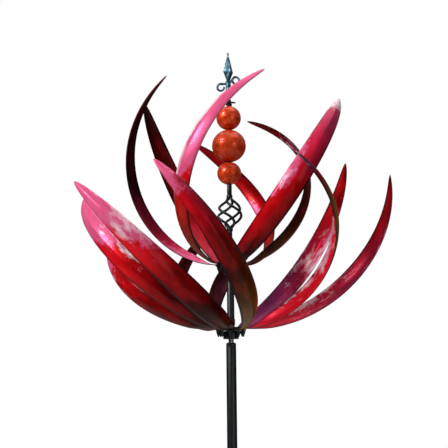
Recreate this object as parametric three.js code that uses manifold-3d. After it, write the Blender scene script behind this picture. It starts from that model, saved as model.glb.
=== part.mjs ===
// Kinetic wind sculpture: two rotors of long curved blades spin freely, one above the other, on a
// fixed mast that is pushed into the ground and carries a stack of ornaments.
// Millimetres, +Z up. The origin is on the mast's axis at ground level, at the flat underside of the
// step plate. Azimuths are degrees clockwise from +X, seen from above.
import * as THREE from "three";
import { mergeVertices } from "three/addons/utils/BufferGeometryUtils.js";
import Module from "manifold-3d";

const wasm = await Module();
wasm.setup();

// ---------------------------------------------------------------- driving dimensions
const GAP = 0.3; // between pieces that touch
const RUN = 1.2; // between a turning piece and a fixed one

const LOWER_HUB = 1245; // ground to the middle of the lower hub plate
const HUB_SPACING = 123.2; // lower hub plate to upper hub plate

const POLE_R = 9.5;
const POLE_WALL = 1.6;
const POLE_SECTIONS = 3;
const POLE_HEAD_BELOW_HUB = 23.5; // top of the pole head, below the lower hub plate

const SPINDLE_R = 4;
const SPINDLE_SHOULDER_R = 5;

const PLATE_R = 29;
const PLATE_THICK = 3;
const PLATE_BORE_R = 9;
const CUP_R = 14.7;
const CUP_WALL = 2.4;
const CUP_DEPTH = 15.2;
const CUP_EDGE = 1; // chamfer round the cup's lower edge
const BEARING_WIDTH = 6;

const BOLT_CIRCLE_R = 24;
const BOLT_R = 2.3;
const BOLT_HOLE_R = 2.9;
const BOLT_HEAD_R = 4.6;
const BOLT_HEAD = 3.2;
const CONE_LENGTH = 11;
const CONE_TIP_R = 1;

const SHEET = 1.2; // thickness of the blades' sheet
const TAB_START_R = 19.4; // inner end of a blade's bolted tab
const TAB_WIDTH = 10;
const TAB_BEND = 30; // from the bolt out to where the blade has its full climb
const TWIST_LENGTH = 60; // from the bolt out to where the blade has its full lean
const TIP_WIDTH = 2;
const WALK_STEPS = 24; // steps along the centreline from one section to the next
const LEAF_SKEW = 0.85; // below 1 the widest place moves towards the hub
const LEAF_FULLNESS = 0.55; // below 1 the leaf's sides are fuller
// Sections of a blade beyond its tab, as shares of its length.
const BLADE_STATIONS = [
  0.02, 0.045, 0.08, 0.13, 0.19, 0.25, 0.32, 0.39, 0.46, 0.53, 0.6, 0.67, 0.74, 0.81,
  0.87, 0.92, 0.96, 0.985, 1,
];

const LOWER_ROTOR = {
  name: "lower",
  blades: 9,
  hub: LOWER_HUB,
  start: 53.1,
  lean: 41.4,
  rise: 9.3,
  curl: 102.9,
  tighten: 17.7,
  length: 488.4,
  width: 42.2,
  hollow: 8.4,
  // How far each blade was turned on its bolt, leant and lifted when it was set by hand, in degrees.
  set: [
    [18.6, -2, -10.7],
    [-1.4, 4.3, -8.1],
    [-19.2, 5.7, 18.3],
    [-12.7, 9.1, 6.8],
    [13.1, -1.1, -13.8],
    [-15.6, 3, 0.9],
    [6.5, -11.7, 5.1],
    [0.6, -7.6, -9.3],
    [-14.5, 4.4, 13.4],
  ],
};
const UPPER_ROTOR = {
  name: "upper",
  blades: 6,
  hub: LOWER_HUB + HUB_SPACING,
  start: 142.8,
  lean: -28.9,
  rise: 6.2,
  curl: 179.4,
  tighten: -34.3,
  length: 495,
  width: 42.2,
  hollow: 8.4,
  set: [
    [-6, 2, -1.8],
    [-3.9, 3.3, -1.5],
    [-1.8, 2.1, 1.6],
    [-3.4, -6.8, -3.1],
    [-5.3, 3.1, 9.6],
    [-2.9, -3.9, -6.9],
  ],
};

const STEM_R = 4.7; // below the balls
const THIN_STEM_R = 3; // through the balls and above them
const STEM_SOCKET_R = 6.5;
const CAGE_BOTTOM = 189.5; // this and the heights below are above the lower hub plate
const CAGE_TOP = 260.5;
const CAGE_RODS = 4;
const CAGE_ROD_R = 2.6;
const CAGE_BULGE_R = 24;
const CAGE_TWIST = 250;
const CAGE_SWELL = 1.2; // above 1 the rods leave the axis later
const CAGE_COLLAR = 7;
const CAGE_COLLAR_R = 6;
const BALLS = [
  { name: "ball_lower", height: 304.2, radius: 24, tall: 22.4 },
  { name: "ball_middle", height: 359.4, radius: 34, tall: 32 },
  { name: "ball_upper", height: 416.5, radius: 24.8, tall: 23.8 },
]; // slightly flattened: radius is across, tall is half the height
const BALL_WALL = 1.5;
const COLLAR_WALL = 2; // of the collars that carry the leaves and the scrolls
const LEAF_HEIGHT = 448.5;
const LEAF_COLLAR_HALF = 5;
const LEAVES = 4;
const LEAF_LENGTH = 15;
const LEAF_HALF_WIDTH = 4.5;
const LEAF_THICK = 1.6;
const LEAF_DROOP = 8;
const LEAF_PHASE = 20;
const SCROLL_HEIGHTS = [494, 480, 480, 494]; // centre of each scroll's curl, round the stem
const SCROLL_REACH = 14.7;
const SCROLL_R = 7.8;
const SCROLL_END_R = 6;
const SCROLL_SWEEP = 300;
const SCROLL_ROD_R = 2.5;
const SCROLL_COLLAR = { low: 470, high: 493.5 };
const SPEAR_BOTTOM = 494.5;
const SPEAR_TOP = 555;
const SPEAR_R = 11;
const SPEAR_PHASE = 25;
// The spear's outline: share of its radius, share of its height.
const SPEAR_OUTLINE = [[0, 0], [0.35, 0], [1, 0.29], [0.3, 0.78], [0.12, 0.84], [0.24, 0.91], [0, 1]];

const STEP_PLATE = { x: 130, y: 56, z: 5 };
const SOCKET_HEIGHT = 110;
const SOCKET_WALL = 2;
const PRONG_R = 4.5;
const PRONG_LENGTH = 230;
const PRONG_TIP = 25;
const PRONG_INSET = 10; // from the step plate's edges to a prong's axis
const WING_BOLT_HEIGHT = 85;
const WING_SCREW_R = 3;
const WING_TIP_R = 4.5; // outer end of the wing bolt's boss
const WING_BOSS = 9;
const WINGS = { x: 6, y: 26, z: 3 };

const HEAD_THICK = 6;
const HEAD_CHAMFER = 2;
const SPIGOT_DEPTH = 40;
const COUPLER_FLANGE = 6;
const COUPLER_PROUD = 1.5;
const COUPLER_SPIGOT = 55;
const SPINDLE_TAIL = 44; // spindle below the pole head's top
const SLEEVE_R = 7;
const SLEEVE_COLLAR_R = 8;
const SLEEVE_COLLAR = { above: 9, height: 12 }; // above the lower hub plate's middle
const NUT_CORNER_R = 7.5;
const RETAINER_HEIGHT = 13;
const SOCKET_DEPTH = 16;
const SOCKET_TAPER = 4;

// ---------------------------------------------------------------- materials
const paint = (color, roughness, metalness) => {
  return new THREE.MeshStandardMaterial({ color, roughness, metalness });
};
const BLADE_RED = 0xb5141c;
const POLE_BLACK = 0x14202a;
const BALL_ORANGE = 0xc23a1c;
const BRIGHT_STEEL = 0x9aa0a4;
const IRON_BLUE = 0x3d5a68;

// ---------------------------------------------------------------- solids
const radians = (degrees) => (degrees * Math.PI) / 180;
const onCircle = (radius, azimuth, z) => {
  const angle = -radians(azimuth);
  return new THREE.Vector3(radius * Math.cos(angle), radius * Math.sin(angle), z);
};
const smooth = (t) => {
  const c = Math.min(Math.max(t, 0), 1);
  return c * c * (3 - 2 * c);
};

function toSolid(geometry) {
  const bare = (geometry.index ? geometry.toNonIndexed() : geometry).clone();
  for (const name of Object.keys(bare.attributes)) if (name !== "position") bare.deleteAttribute(name);
  const merged = mergeVertices(bare, 1e-4);
  const triVerts = new Uint32Array(merged.index.array);
  const vertProperties = merged.attributes.position.array;
  return new wasm.Manifold(new wasm.Mesh({ numProp: 3, vertProperties, triVerts }));
}

function toGeometry(solid) {
  const made = solid.getMesh();
  const geometry = new THREE.BufferGeometry();
  geometry.setAttribute("position", new THREE.BufferAttribute(new Float32Array(made.vertProperties), 3));
  geometry.setIndex(new THREE.BufferAttribute(new Uint32Array(made.triVerts), 1));
  return geometry;
}

// A turned piece about the Z axis: points are [radius, z], going round the section counter-clockwise.
function turned(points, segments, phase = 0) {
  const profile = points.map(([r, z]) => new THREE.Vector2(r, z));
  return new THREE.LatheGeometry(profile, segments, phase).rotateX(Math.PI / 2);
}

const rod = (radius, z0, z1, segments) => turned([[0, z0], [radius, z0], [radius, z1], [0, z1]], segments);

function ring(inner, outer, z0, z1, segments) {
  return turned([[inner, z0], [outer, z0], [outer, z1], [inner, z1], [inner, z0]], segments);
}

function cylinderAt(radius, z0, z1, segments, x, y) {
  return rod(radius, z0, z1, segments).translate(x, y, 0);
}

// A round rod that follows a curve.
function tube(points, radius, sides, steps) {
  const section = new THREE.Shape();
  for (let k = 0; k < sides; k++) {
    const angle = (k / sides) * 2 * Math.PI;
    const x = radius * Math.cos(angle);
    const y = radius * Math.sin(angle);
    if (k === 0) section.moveTo(x, y);
    else section.lineTo(x, y);
  }
  section.closePath();
  const extrudePath = new THREE.CatmullRomCurve3(points);
  return new THREE.ExtrudeGeometry(section, { steps, extrudePath, bevelEnabled: false });
}

const united = (geometries) => toGeometry(geometries.map(toSolid).reduce((sum, next) => sum.add(next)));

function drilled(geometry, drills) {
  const cut = drills.map(toSolid).reduce((rest, drill) => rest.subtract(drill), toSolid(geometry));
  return toGeometry(cut);
}

// ---------------------------------------------------------------- the group and its pieces
const sculpture = new THREE.Group();

function piece(name, geometry, color, roughness = 0.35, metalness = 0.6) {
  const mesh = new THREE.Mesh(geometry, paint(color, roughness, metalness));
  mesh.name = name;
  sculpture.add(mesh);
}

// ---------------------------------------------------------------- ground stake and pole
function groundStake() {
  const { x, y, z } = STEP_PLATE;
  const parts = [new THREE.BoxGeometry(x, y, z).translate(0, 0, z / 2)];
  const inner = POLE_R + GAP;
  parts.push(ring(inner, inner + SOCKET_WALL, z - 1, SOCKET_HEIGHT, 20));
  for (const sx of [-1, 1]) {
    for (const sy of [-1, 1]) {
      const shaft = [[0, -PRONG_LENGTH], [PRONG_R, PRONG_TIP - PRONG_LENGTH], [PRONG_R, 1], [0, 1]];
      const px = sx * (x / 2 - PRONG_INSET);
      const py = sy * (y / 2 - PRONG_INSET);
      parts.push(turned(shaft, 10).translate(px, py, 0));
    }
  }
  const screwHole = rod(WING_SCREW_R + GAP, 0, 3 * SOCKET_WALL + inner, 12).rotateY(Math.PI / 2);
  return drilled(united(parts), [screwHole.translate(0, 0, WING_BOLT_HEIGHT)]);
}

function wingBolt() {
  const tip = POLE_R + GAP;
  const boss = tip + SOCKET_WALL + GAP;
  const section = [
    [0, tip],
    [WING_SCREW_R, tip],
    [WING_SCREW_R, boss],
    [2 * WING_SCREW_R, boss],
    [WING_TIP_R, boss + WING_BOSS],
    [0, boss + WING_BOSS],
  ];
  const shank = turned(section, 12).rotateY(Math.PI / 2);
  const wings = new THREE.BoxGeometry(WINGS.x, WINGS.y, WINGS.z).translate(boss + WINGS.x, 0, 0);
  return united([shank, wings]).translate(0, 0, WING_BOLT_HEIGHT);
}

const poleFoot = STEP_PLATE.z + GAP;
const poleHead = LOWER_HUB - POLE_HEAD_BELOW_HUB;
const spigotR = POLE_R - POLE_WALL - GAP;
const flanges = (POLE_SECTIONS - 1) * COUPLER_FLANGE;
const sectionLength = (poleHead - HEAD_THICK - poleFoot - flanges) / POLE_SECTIONS;

function poleParts() {
  const names = ["pole_lower", "pole_middle", "pole_upper"];
  for (let k = 0; k < POLE_SECTIONS; k++) {
    const bottom = poleFoot + k * (sectionLength + COUPLER_FLANGE);
    const top = bottom + sectionLength - GAP;
    piece(names[k], ring(POLE_R - POLE_WALL, POLE_R, bottom, top, 20), POLE_BLACK);
    if (k === POLE_SECTIONS - 1) break;
    const flange = bottom + sectionLength;
    const coupler = [
      [0, flange - COUPLER_SPIGOT],
      [spigotR, flange - COUPLER_SPIGOT],
      [spigotR, flange],
      [POLE_R + COUPLER_PROUD, flange],
      [POLE_R + COUPLER_PROUD, flange + COUPLER_FLANGE - GAP],
      [spigotR, flange + COUPLER_FLANGE - GAP],
      [spigotR, flange + COUPLER_FLANGE + COUPLER_SPIGOT],
      [0, flange + COUPLER_FLANGE + COUPLER_SPIGOT],
    ];
    piece(`pole_coupler_${k + 1}`, turned(coupler, 20), POLE_BLACK);
  }
  const bore = SPINDLE_SHOULDER_R + GAP;
  const head = [
    [bore, poleHead - HEAD_THICK - SPIGOT_DEPTH],
    [spigotR, poleHead - HEAD_THICK - SPIGOT_DEPTH],
    [spigotR, poleHead - HEAD_THICK],
    [POLE_R, poleHead - HEAD_THICK],
    [POLE_R, poleHead - HEAD_CHAMFER],
    [POLE_R - HEAD_CHAMFER, poleHead],
    [bore, poleHead],
    [bore, poleHead - HEAD_THICK - SPIGOT_DEPTH],
  ];
  piece("pole_head", turned(head, 20), POLE_BLACK);
}

// ---------------------------------------------------------------- spindle, sleeve and nuts
const cupBottom = (hub) => hub - PLATE_THICK / 2 - GAP - CUP_DEPTH;
const bearingSeat = (hub) => cupBottom(hub) + CUP_WALL / 2 + GAP;
const bearingTop = (hub) => bearingSeat(hub) + 2 * BEARING_WIDTH + GAP;
const upperHub = UPPER_ROTOR.hub;
const retainerTop = bearingTop(upperHub) + GAP + RETAINER_HEIGHT;
const spindleTop = retainerTop + GAP + SOCKET_DEPTH - 2 * GAP;

function spindleParts() {
  const shoulder = bearingSeat(LOWER_HUB) - GAP;
  const spindle = [
    [0, poleHead - SPINDLE_TAIL],
    [SPINDLE_SHOULDER_R, poleHead - SPINDLE_TAIL],
    [SPINDLE_SHOULDER_R, shoulder],
    [SPINDLE_R, shoulder],
    [SPINDLE_R, spindleTop],
    [0, spindleTop],
  ];
  piece("spindle", turned(spindle, 16), BRIGHT_STEEL, 0.3, 0.9);
  const bore = SPINDLE_R + GAP;
  const low = bearingTop(LOWER_HUB) + GAP;
  const high = bearingSeat(upperHub) - GAP;
  const collarLow = LOWER_HUB + SLEEVE_COLLAR.above;
  const collarHigh = collarLow + SLEEVE_COLLAR.height;
  const sleeve = [
    [bore, low],
    [SLEEVE_R, low],
    [SLEEVE_R, collarLow],
    [SLEEVE_COLLAR_R, collarLow],
    [SLEEVE_COLLAR_R, collarHigh],
    [SLEEVE_R, collarHigh],
    [SLEEVE_R, high],
    [bore, high],
    [bore, low],
  ];
  piece("spacer_sleeve", turned(sleeve, 16), POLE_BLACK);
  const nutLow = bearingTop(upperHub) + GAP;
  const hex = rod(NUT_CORNER_R, nutLow, retainerTop, 6);
  piece("retaining_nut", drilled(hex, [rod(bore, nutLow - 1, retainerTop + 1, 16)]), POLE_BLACK);
}

// ---------------------------------------------------------------- one rotor
function hubPlate(rotor) {
  const z0 = rotor.hub - PLATE_THICK / 2;
  const plate = ring(PLATE_BORE_R, PLATE_R, z0, z0 + PLATE_THICK, 24);
  const drills = [];
  for (let k = 0; k < rotor.blades; k++) {
    const p = onCircle(BOLT_CIRCLE_R, rotor.start + (k * 360) / rotor.blades, 0);
    drills.push(cylinderAt(BOLT_HOLE_R, z0 - 1, z0 + PLATE_THICK + 1, 6, p.x, p.y));
  }
  return drilled(plate, drills);
}

// The bearing cup hangs under the plate; its mouth is closed by the plate.
function hubCup(rotor, mouthR) {
  const z0 = cupBottom(rotor.hub);
  const z1 = z0 + CUP_DEPTH;
  const floor = z0 + CUP_WALL / 2;
  const inner = CUP_R - CUP_WALL;
  const cup = [
    [mouthR, z0],
    [CUP_R - CUP_EDGE, z0],
    [CUP_R, z0 + CUP_EDGE],
    [CUP_R, z1],
    [inner, z1],
    [inner, floor],
    [mouthR, floor],
    [mouthR, z0],
  ];
  return turned(cup, 24);
}

// A blade: a thin sheet whose centreline curls up in a leaning plane, narrow at the bolted tab,
// widest a little inside its middle and pointed at the tip, hollow along its inner side.
function bladeGeometry(rotor, index) {
  const [turn, leanSet, riseSet] = rotor.set[index];
  const base = rotor.start + (index * 360) / rotor.blades;
  const heading = -radians(base + turn);
  const lean = -radians(rotor.lean + leanSet);
  const rise = radians(rotor.rise + riseSet);
  const out = new THREE.Vector3(Math.cos(heading), Math.sin(heading), 0);
  const side = new THREE.Vector3(-Math.sin(heading), Math.cos(heading), 0);
  const up = new THREE.Vector3(0, 0, 1);
  const lift = up.clone().multiplyScalar(Math.cos(lean)).addScaledVector(side, Math.sin(lean));
  const tabZ = rotor.hub + PLATE_THICK / 2 + GAP + SHEET / 2;
  const bolt = onCircle(BOLT_CIRCLE_R, base, tabZ);
  const angleAt = (s) => {
    const t = Math.max(s, 0) / rotor.length;
    return (rise + radians(rotor.curl) * t + radians(rotor.tighten) * t * t) * smooth(s / TAB_BEND);
  };
  const halfWidth = (s) => {
    const t = Math.min(Math.max(s, 0) / rotor.length, 1);
    const leaf = (rotor.width / 2) * Math.sin(Math.PI * t ** LEAF_SKEW) ** LEAF_FULLNESS;
    return Math.max(leaf, s < rotor.length / 2 ? TAB_WIDTH / 2 : TIP_WIDTH / 2);
  };
  const underNut = BOLT_HEAD_R + GAP;
  const leafStations = BLADE_STATIONS.map((t) => t * rotor.length);
  const stations = [TAB_START_R - BOLT_CIRCLE_R, 0, underNut, ...leafStations];
  const centre = bolt.clone().addScaledVector(out, stations[0]);
  const upper = [];
  const under = [];
  let s = stations[0];
  for (const station of stations) {
    const ds = (station - s) / WALK_STEPS;
    for (let k = 0; k < WALK_STEPS && ds > 0; k++) {
      const angle = angleAt(s + ds / 2);
      centre.addScaledVector(out, Math.cos(angle) * ds).addScaledVector(lift, Math.sin(angle) * ds);
      s += ds;
    }
    const angle = angleAt(s);
    const along = out.clone().multiplyScalar(Math.cos(angle)).addScaledVector(lift, Math.sin(angle));
    const leanHere = lean * smooth(s / TWIST_LENGTH);
    const across = side.clone().multiplyScalar(Math.cos(leanHere)).addScaledVector(up, -Math.sin(leanHere));
    across.addScaledVector(along, -across.dot(along)).normalize();
    const inward = along.clone().cross(across);
    const half = halfWidth(s);
    const hollow = rotor.hollow * (half / (rotor.width / 2)) * smooth(s / TWIST_LENGTH);
    const slope = Math.atan2(hollow, half);
    const rowAbove = [];
    const rowBelow = [];
    for (const q of [-1, 0, 1]) {
      const middle = centre.clone().addScaledVector(across, q * half);
      middle.addScaledVector(inward, Math.abs(q) * hollow);
      const normal = inward.clone();
      if (q !== 0) normal.multiplyScalar(Math.cos(slope)).addScaledVector(across, -q * Math.sin(slope));
      const offset = SHEET / 2 / (q === 0 ? Math.cos(slope) : 1);
      rowAbove.push(middle.clone().addScaledVector(normal, offset));
      rowBelow.push(middle.clone().addScaledVector(normal, -offset));
    }
    upper.push(rowAbove);
    under.push(rowBelow);
  }
  const blade = sheetSolid(upper, under);
  const hole = cylinderAt(BOLT_HOLE_R, tabZ - SHEET, tabZ + SHEET, 6, bolt.x, bolt.y);
  return drilled(blade, [hole]);
}

// Closes two rows-by-columns grids, one above the other, into one solid.
function sheetSolid(upper, under) {
  const rows = upper.length;
  const columns = upper[0].length;
  const positions = [...upper.flat(), ...under.flat()].flatMap((p) => [p.x, p.y, p.z]);
  const top = (i, j) => i * columns + j;
  const low = (i, j) => rows * columns + i * columns + j;
  const index = [];
  const quad = (a, b, c, d) => index.push(a, b, c, a, c, d);
  for (let i = 0; i + 1 < rows; i++) {
    for (let j = 0; j + 1 < columns; j++) {
      quad(top(i, j), top(i + 1, j), top(i + 1, j + 1), top(i, j + 1));
      quad(low(i, j), low(i, j + 1), low(i + 1, j + 1), low(i + 1, j));
    }
    const end = columns - 1;
    quad(top(i, end), top(i + 1, end), low(i + 1, end), low(i, end));
    quad(top(i, 0), low(i, 0), low(i + 1, 0), top(i + 1, 0));
  }
  for (let j = 0; j + 1 < columns; j++) {
    quad(top(0, j), top(0, j + 1), low(0, j + 1), low(0, j));
    quad(top(rows - 1, j), low(rows - 1, j), low(rows - 1, j + 1), top(rows - 1, j + 1));
  }
  const geometry = new THREE.BufferGeometry();
  geometry.setAttribute("position", new THREE.Float32BufferAttribute(positions, 3));
  geometry.setIndex(index);
  return geometry;
}

// A cone-headed bolt from below, through the plate and the blade's tab, with its nut on top.
function bladeBolt(rotor, index) {
  const under = rotor.hub - PLATE_THICK / 2 - GAP;
  const over = rotor.hub + PLATE_THICK / 2 + GAP + SHEET + GAP;
  const section = [
    [0, under - CONE_LENGTH],
    [CONE_TIP_R, under - CONE_LENGTH],
    [BOLT_HEAD_R, under],
    [BOLT_R, under],
    [BOLT_R, over],
    [BOLT_HEAD_R, over],
    [BOLT_HEAD_R, over + BOLT_HEAD],
    [0, over + BOLT_HEAD],
  ];
  const p = onCircle(BOLT_CIRCLE_R, rotor.start + (index * 360) / rotor.blades, 0);
  return turned(section, 6).translate(p.x, p.y, 0);
}

function rotorParts(rotor, cupMouthR) {
  const bearingInner = SPINDLE_R + GAP;
  const bearingOuter = CUP_R - CUP_WALL - GAP;
  piece(`${rotor.name}_hub_plate`, hubPlate(rotor), POLE_BLACK);
  piece(`${rotor.name}_bearing_cup`, hubCup(rotor, cupMouthR), POLE_BLACK);
  const seat = bearingSeat(rotor.hub);
  for (const k of [0, 1]) {
    const low = seat + k * (BEARING_WIDTH + GAP);
    const bearing = ring(bearingInner, bearingOuter, low, low + BEARING_WIDTH, 16);
    piece(`${rotor.name}_bearing_${k + 1}`, bearing, BRIGHT_STEEL, 0.3, 0.9);
  }
  for (let k = 0; k < rotor.blades; k++) {
    piece(`${rotor.name}_blade_${k + 1}`, bladeGeometry(rotor, k), BLADE_RED, 0.25, 0.4);
    piece(`${rotor.name}_bolt_${k + 1}`, bladeBolt(rotor, k), POLE_BLACK);
  }
}

// ---------------------------------------------------------------- ornaments
const stemShoulder = BALLS[0].height - BALLS[0].tall - GAP;

function stemParts() {
  const bottom = retainerTop + GAP;
  const top = LOWER_HUB + CAGE_BOTTOM - GAP;
  const bore = SPINDLE_R + GAP;
  const lower = [
    [bore, bottom],
    [STEM_SOCKET_R, bottom],
    [STEM_SOCKET_R, bottom + SOCKET_DEPTH],
    [STEM_R, bottom + SOCKET_DEPTH + SOCKET_TAPER],
    [STEM_R, top],
    [0, top],
    [0, bottom + SOCKET_DEPTH],
    [bore, bottom + SOCKET_DEPTH],
    [bore, bottom],
  ];
  piece("stem_lower", turned(lower, 16), POLE_BLACK);
  const low = LOWER_HUB + CAGE_TOP + GAP;
  const shoulder = LOWER_HUB + stemShoulder;
  const high = LOWER_HUB + SPEAR_BOTTOM - GAP;
  const upper = [
    [0, low],
    [STEM_R, low],
    [STEM_R, shoulder],
    [THIN_STEM_R, shoulder],
    [THIN_STEM_R, high],
    [0, high],
  ];
  piece("stem_upper", turned(upper, 16), POLE_BLACK);
}

// Rods that swell out and twist round the axis, welded to a collar at each end.
function cage() {
  const z0 = LOWER_HUB + CAGE_BOTTOM;
  const z1 = LOWER_HUB + CAGE_TOP;
  const collars = [[z0, z0 + CAGE_COLLAR], [z1 - CAGE_COLLAR, z1]];
  const parts = collars.map(([low, high]) => rod(CAGE_COLLAR_R, low, high, 16));
  const innerR = CAGE_ROD_R / 2;
  const spots = 12;
  for (let k = 0; k < CAGE_RODS; k++) {
    const points = [];
    for (let i = 0; i <= spots; i++) {
      const t = i / spots;
      const radius = innerR + (CAGE_BULGE_R - innerR) * Math.sin(Math.PI * t) ** CAGE_SWELL;
      const azimuth = (k * 360) / CAGE_RODS + CAGE_TWIST * t;
      points.push(onCircle(radius, azimuth, z0 + CAGE_COLLAR / 2 + t * (z1 - z0 - CAGE_COLLAR)));
    }
    parts.push(tube(points, CAGE_ROD_R, 5, spots + 1));
  }
  return united(parts);
}

// A hollow ball with a hole at each pole for the stem.
function ball({ height, radius, tall }) {
  const bore = THIN_STEM_R + GAP;
  const centre = LOWER_HUB + height;
  const section = [];
  const arc = (r, rise, from, to, steps) => {
    for (let k = 0; k <= steps; k++) {
      const angle = from + ((to - from) * k) / steps;
      section.push([r * Math.cos(angle), centre + rise * Math.sin(angle)]);
    }
  };
  const outerEnd = Math.acos(bore / radius);
  const innerEnd = Math.acos(bore / (radius - BALL_WALL));
  arc(radius, tall, -outerEnd, outerEnd, 10);
  arc(radius - BALL_WALL, tall - BALL_WALL, innerEnd, -innerEnd, 5);
  section.push(section[0]);
  return turned(section, 18);
}

// A collar with small leaves that bend out and down.
function leafCollar() {
  const bore = THIN_STEM_R + GAP;
  const z = LOWER_HUB + LEAF_HEIGHT;
  const parts = [ring(bore, bore + COLLAR_WALL, z - LEAF_COLLAR_HALF, z + LEAF_COLLAR_HALF, 12)];
  const root = bore + COLLAR_WALL / 2;
  const shape = { depth: LEAF_THICK, bevelEnabled: false, curveSegments: 4 };
  for (let k = 0; k < LEAVES; k++) {
    const outline = new THREE.Shape();
    outline.moveTo(root, -COLLAR_WALL);
    outline.quadraticCurveTo(LEAF_LENGTH / 2, -LEAF_HALF_WIDTH, LEAF_LENGTH, 0);
    outline.quadraticCurveTo(LEAF_LENGTH / 2, LEAF_HALF_WIDTH, root, COLLAR_WALL);
    const leaf = new THREE.ExtrudeGeometry(outline, shape).rotateY(radians(LEAF_DROOP));
    parts.push(leaf.rotateZ(radians(LEAF_PHASE + (k * 360) / LEAVES)).translate(0, 0, z));
  }
  return united(parts);
}

// A collar with scrolls of rod that spring from it and curl in on themselves.
function scrolls() {
  const bore = THIN_STEM_R + GAP;
  const { low, high } = SCROLL_COLLAR;
  const parts = [ring(bore, bore + COLLAR_WALL, LOWER_HUB + low, LOWER_HUB + high, 12)];
  const spots = 10;
  SCROLL_HEIGHTS.forEach((height, k) => {
    const spring = Math.min(height + SCROLL_R, high - SCROLL_ROD_R);
    const points = [new THREE.Vector3(bore + COLLAR_WALL / 2, 0, LOWER_HUB + spring)];
    for (let i = 0; i <= spots; i++) {
      const t = i / spots;
      const angle = radians(110 - SCROLL_SWEEP * t);
      const radius = SCROLL_R - (SCROLL_R - SCROLL_END_R) * t;
      const x = SCROLL_REACH + radius * Math.cos(angle);
      points.push(new THREE.Vector3(x, 0, LOWER_HUB + height + radius * Math.sin(angle)));
    }
    const curl = tube(points, SCROLL_ROD_R, 5, spots + 3);
    parts.push(curl.rotateZ(radians((k * 360) / SCROLL_HEIGHTS.length)));
  });
  return drilled(united(parts), [rod(bore, LOWER_HUB + low - 1, LOWER_HUB + high + 1, 12)]);
}

function spear() {
  const z = LOWER_HUB + SPEAR_BOTTOM;
  const tall = SPEAR_TOP - SPEAR_BOTTOM;
  const section = SPEAR_OUTLINE.map(([r, h]) => [r * SPEAR_R, z + h * tall]);
  return turned(section, 4, radians(SPEAR_PHASE));
}

// ---------------------------------------------------------------- assembly
piece("ground_stake", groundStake(), POLE_BLACK, 0.6, 0.5);
piece("wing_bolt", wingBolt(), BRIGHT_STEEL, 0.35, 0.9);
poleParts();
spindleParts();
rotorParts(LOWER_ROTOR, SPINDLE_SHOULDER_R + RUN);
rotorParts(UPPER_ROTOR, SLEEVE_R + RUN);
stemParts();
piece("cage", cage(), POLE_BLACK);
for (const one of BALLS) piece(one.name, ball(one), BALL_ORANGE, 0.2, 0.3);
piece("leaf_collar", leafCollar(), POLE_BLACK);
piece("scrolls", scrolls(), POLE_BLACK);
piece("spear", spear(), IRON_BLUE, 0.4, 0.7);

export default sculpture;
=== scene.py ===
# %% [markdown]
# # A kinetic wind sculpture
# Two rotors of long curved blades turn one above the other on a black mast, in opposite ways, when
# the wind blows. A twisted cage, three glazed balls, a ring of leaves, four scrolls and a spear stand
# on top. This lesson builds each piece the way a metal shop would, then gives it its own finish.
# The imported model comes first: every piece is measured from it, and rides on one of its bodies.

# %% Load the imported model
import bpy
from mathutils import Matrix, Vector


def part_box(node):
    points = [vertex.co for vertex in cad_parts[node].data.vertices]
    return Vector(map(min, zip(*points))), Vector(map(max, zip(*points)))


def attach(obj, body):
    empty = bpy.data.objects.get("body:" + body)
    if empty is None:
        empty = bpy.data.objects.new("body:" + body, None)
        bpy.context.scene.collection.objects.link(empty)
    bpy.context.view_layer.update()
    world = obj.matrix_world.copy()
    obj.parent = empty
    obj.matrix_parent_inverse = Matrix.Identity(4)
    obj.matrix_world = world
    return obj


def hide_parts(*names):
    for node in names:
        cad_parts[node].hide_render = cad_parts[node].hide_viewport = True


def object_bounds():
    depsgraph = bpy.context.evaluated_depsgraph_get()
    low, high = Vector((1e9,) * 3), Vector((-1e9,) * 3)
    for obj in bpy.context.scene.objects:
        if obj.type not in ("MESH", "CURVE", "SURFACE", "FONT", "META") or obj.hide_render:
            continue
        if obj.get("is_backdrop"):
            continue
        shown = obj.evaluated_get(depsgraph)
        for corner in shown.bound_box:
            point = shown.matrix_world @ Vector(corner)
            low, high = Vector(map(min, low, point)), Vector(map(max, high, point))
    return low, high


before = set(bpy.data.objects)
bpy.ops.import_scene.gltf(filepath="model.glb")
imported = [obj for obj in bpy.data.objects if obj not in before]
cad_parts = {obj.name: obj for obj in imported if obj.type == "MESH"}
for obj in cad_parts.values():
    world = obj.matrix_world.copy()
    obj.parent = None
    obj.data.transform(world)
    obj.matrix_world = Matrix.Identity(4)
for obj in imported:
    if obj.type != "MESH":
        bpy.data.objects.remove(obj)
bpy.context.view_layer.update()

# %% Names used all through
import math

import bmesh
import bpy
from mathutils import Matrix, Vector

MM = 0.001
SHAFT_SIDES = 40
SMALL_SIDES = 20
UP = Vector((0, 0, 1))


def smooth(t):
    """0 to 1 without a corner at either end."""
    c = min(max(t, 0.0), 1.0)
    return c * c * (3 - 2 * c)


def height_of(node):
    """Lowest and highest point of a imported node, in metres."""
    low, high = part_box(node)
    return low.z, high.z


# %% [markdown]
# ## Finishes
# A finish is a small tree of nodes. Two helpers keep the trees short: one turns the hex colours that
# a paint chart gives into the linear colours a shader wants, the other adds a node with its settings
# and links. Every pattern is sized in real millimetres, because the pieces are in metres.

# %% Helpers for finishes
def colour(code):
    """An sRGB hex code such as #B5141C as a linear colour."""
    parts = [int(code[i:i + 2], 16) / 255 for i in (1, 3, 5)]
    linear = [c / 12.92 if c <= 0.04045 else ((c + 0.055) / 1.055) ** 2.4 for c in parts]
    return (*linear, 1.0)


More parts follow.
